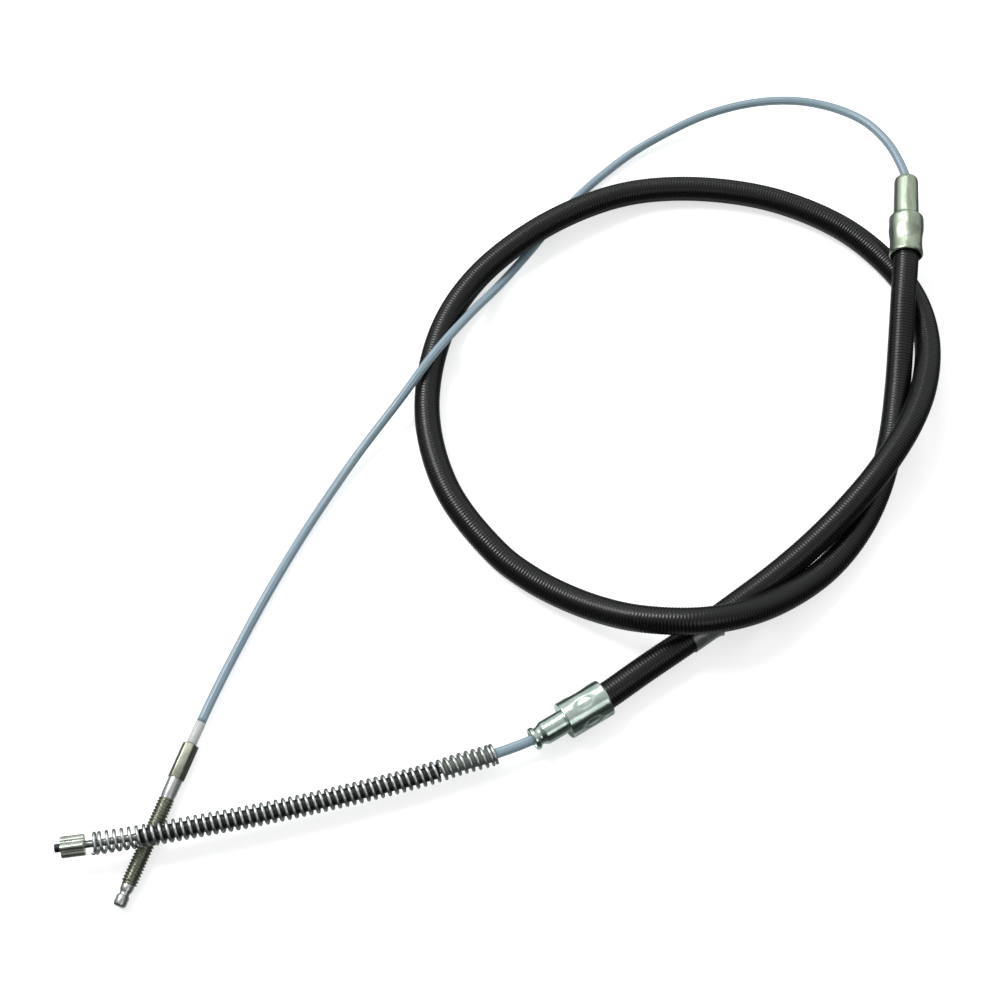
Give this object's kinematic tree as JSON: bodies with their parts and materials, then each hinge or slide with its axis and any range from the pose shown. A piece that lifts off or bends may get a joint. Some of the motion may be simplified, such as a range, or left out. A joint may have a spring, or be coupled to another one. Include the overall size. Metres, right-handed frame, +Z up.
{
  "type": "parking brake cable",
  "caption": "Parking brake cable: ribbed conduit with crimped ferrules, coated inner wire with a threaded end rod, and a return spring with a crimped nipple, laid in a loose loop.",
  "frame": {"origin": "middle of the part's footprint, on the surface it lies on", "axes": "+Z up; the drum-side nipple and the threaded end lie towards -X -Y, the lever-side ferrule towards +X +Y"},
  "size_m": [0.3542, 0.3726, 0.0286],
  "materials": {
    "black_sheath": "satin ribbed",
    "steel": "satin",
    "clear_coat": "glossy, pale blue, see-through",
    "wire": "bright",
    "satin_zinc": "satin zinc",
    "bright_zinc": "bright zinc",
    "silver": "bright",
    "olive_zinc": "dull zinc",
    "milky_plastic": "milky, see-through",
    "crimped_zinc": "crimped zinc",
    "spring_steel": "bright",
    "grey_plastic": "satin",
    "black_plastic": "satin"
  },
  "bodies": {
    "root": {"conduit_sheath": "black_sheath", "armour_coil": "steel", "inner_coat": "clear_coat", "inner_strand": "wire", "lever_ferrule": "satin_zinc", "drum_ferrule": "bright_zinc", "split_sleeve": "silver", "lever_coat": "clear_coat", "lever_strand": "wire"},
    "lever_end": {"threaded_end": "olive_zinc", "clear_collar": "milky_plastic"},
    "drum_end": {"nipple": "crimped_zinc", "return_spring": "spring_steel", "spring_guide": "grey_plastic", "black_sleeve": "black_plastic", "drum_coat": "clear_coat", "drum_strand": "wire"}
  },
  "joints": [
    {"name": "drum_end_slide", "type": "slide", "parent": "root", "child": "drum_end", "axis": [0.9337, 0.3581, 0], "range_m": [0, 0.012], "deforming": ["drum_coat", "drum_strand"]},
    {"name": "lever_end_slide", "type": "slide", "parent": "root", "child": "lever_end", "axis": [-0.325, -0.9457, 0], "range_m": [0, 0.012], "deforming": ["lever_coat", "lever_strand"]}
  ],
  "couplings": [
    {"joint": "lever_end_slide", "follows": "drum_end_slide", "ratio": 1}
  ]
}
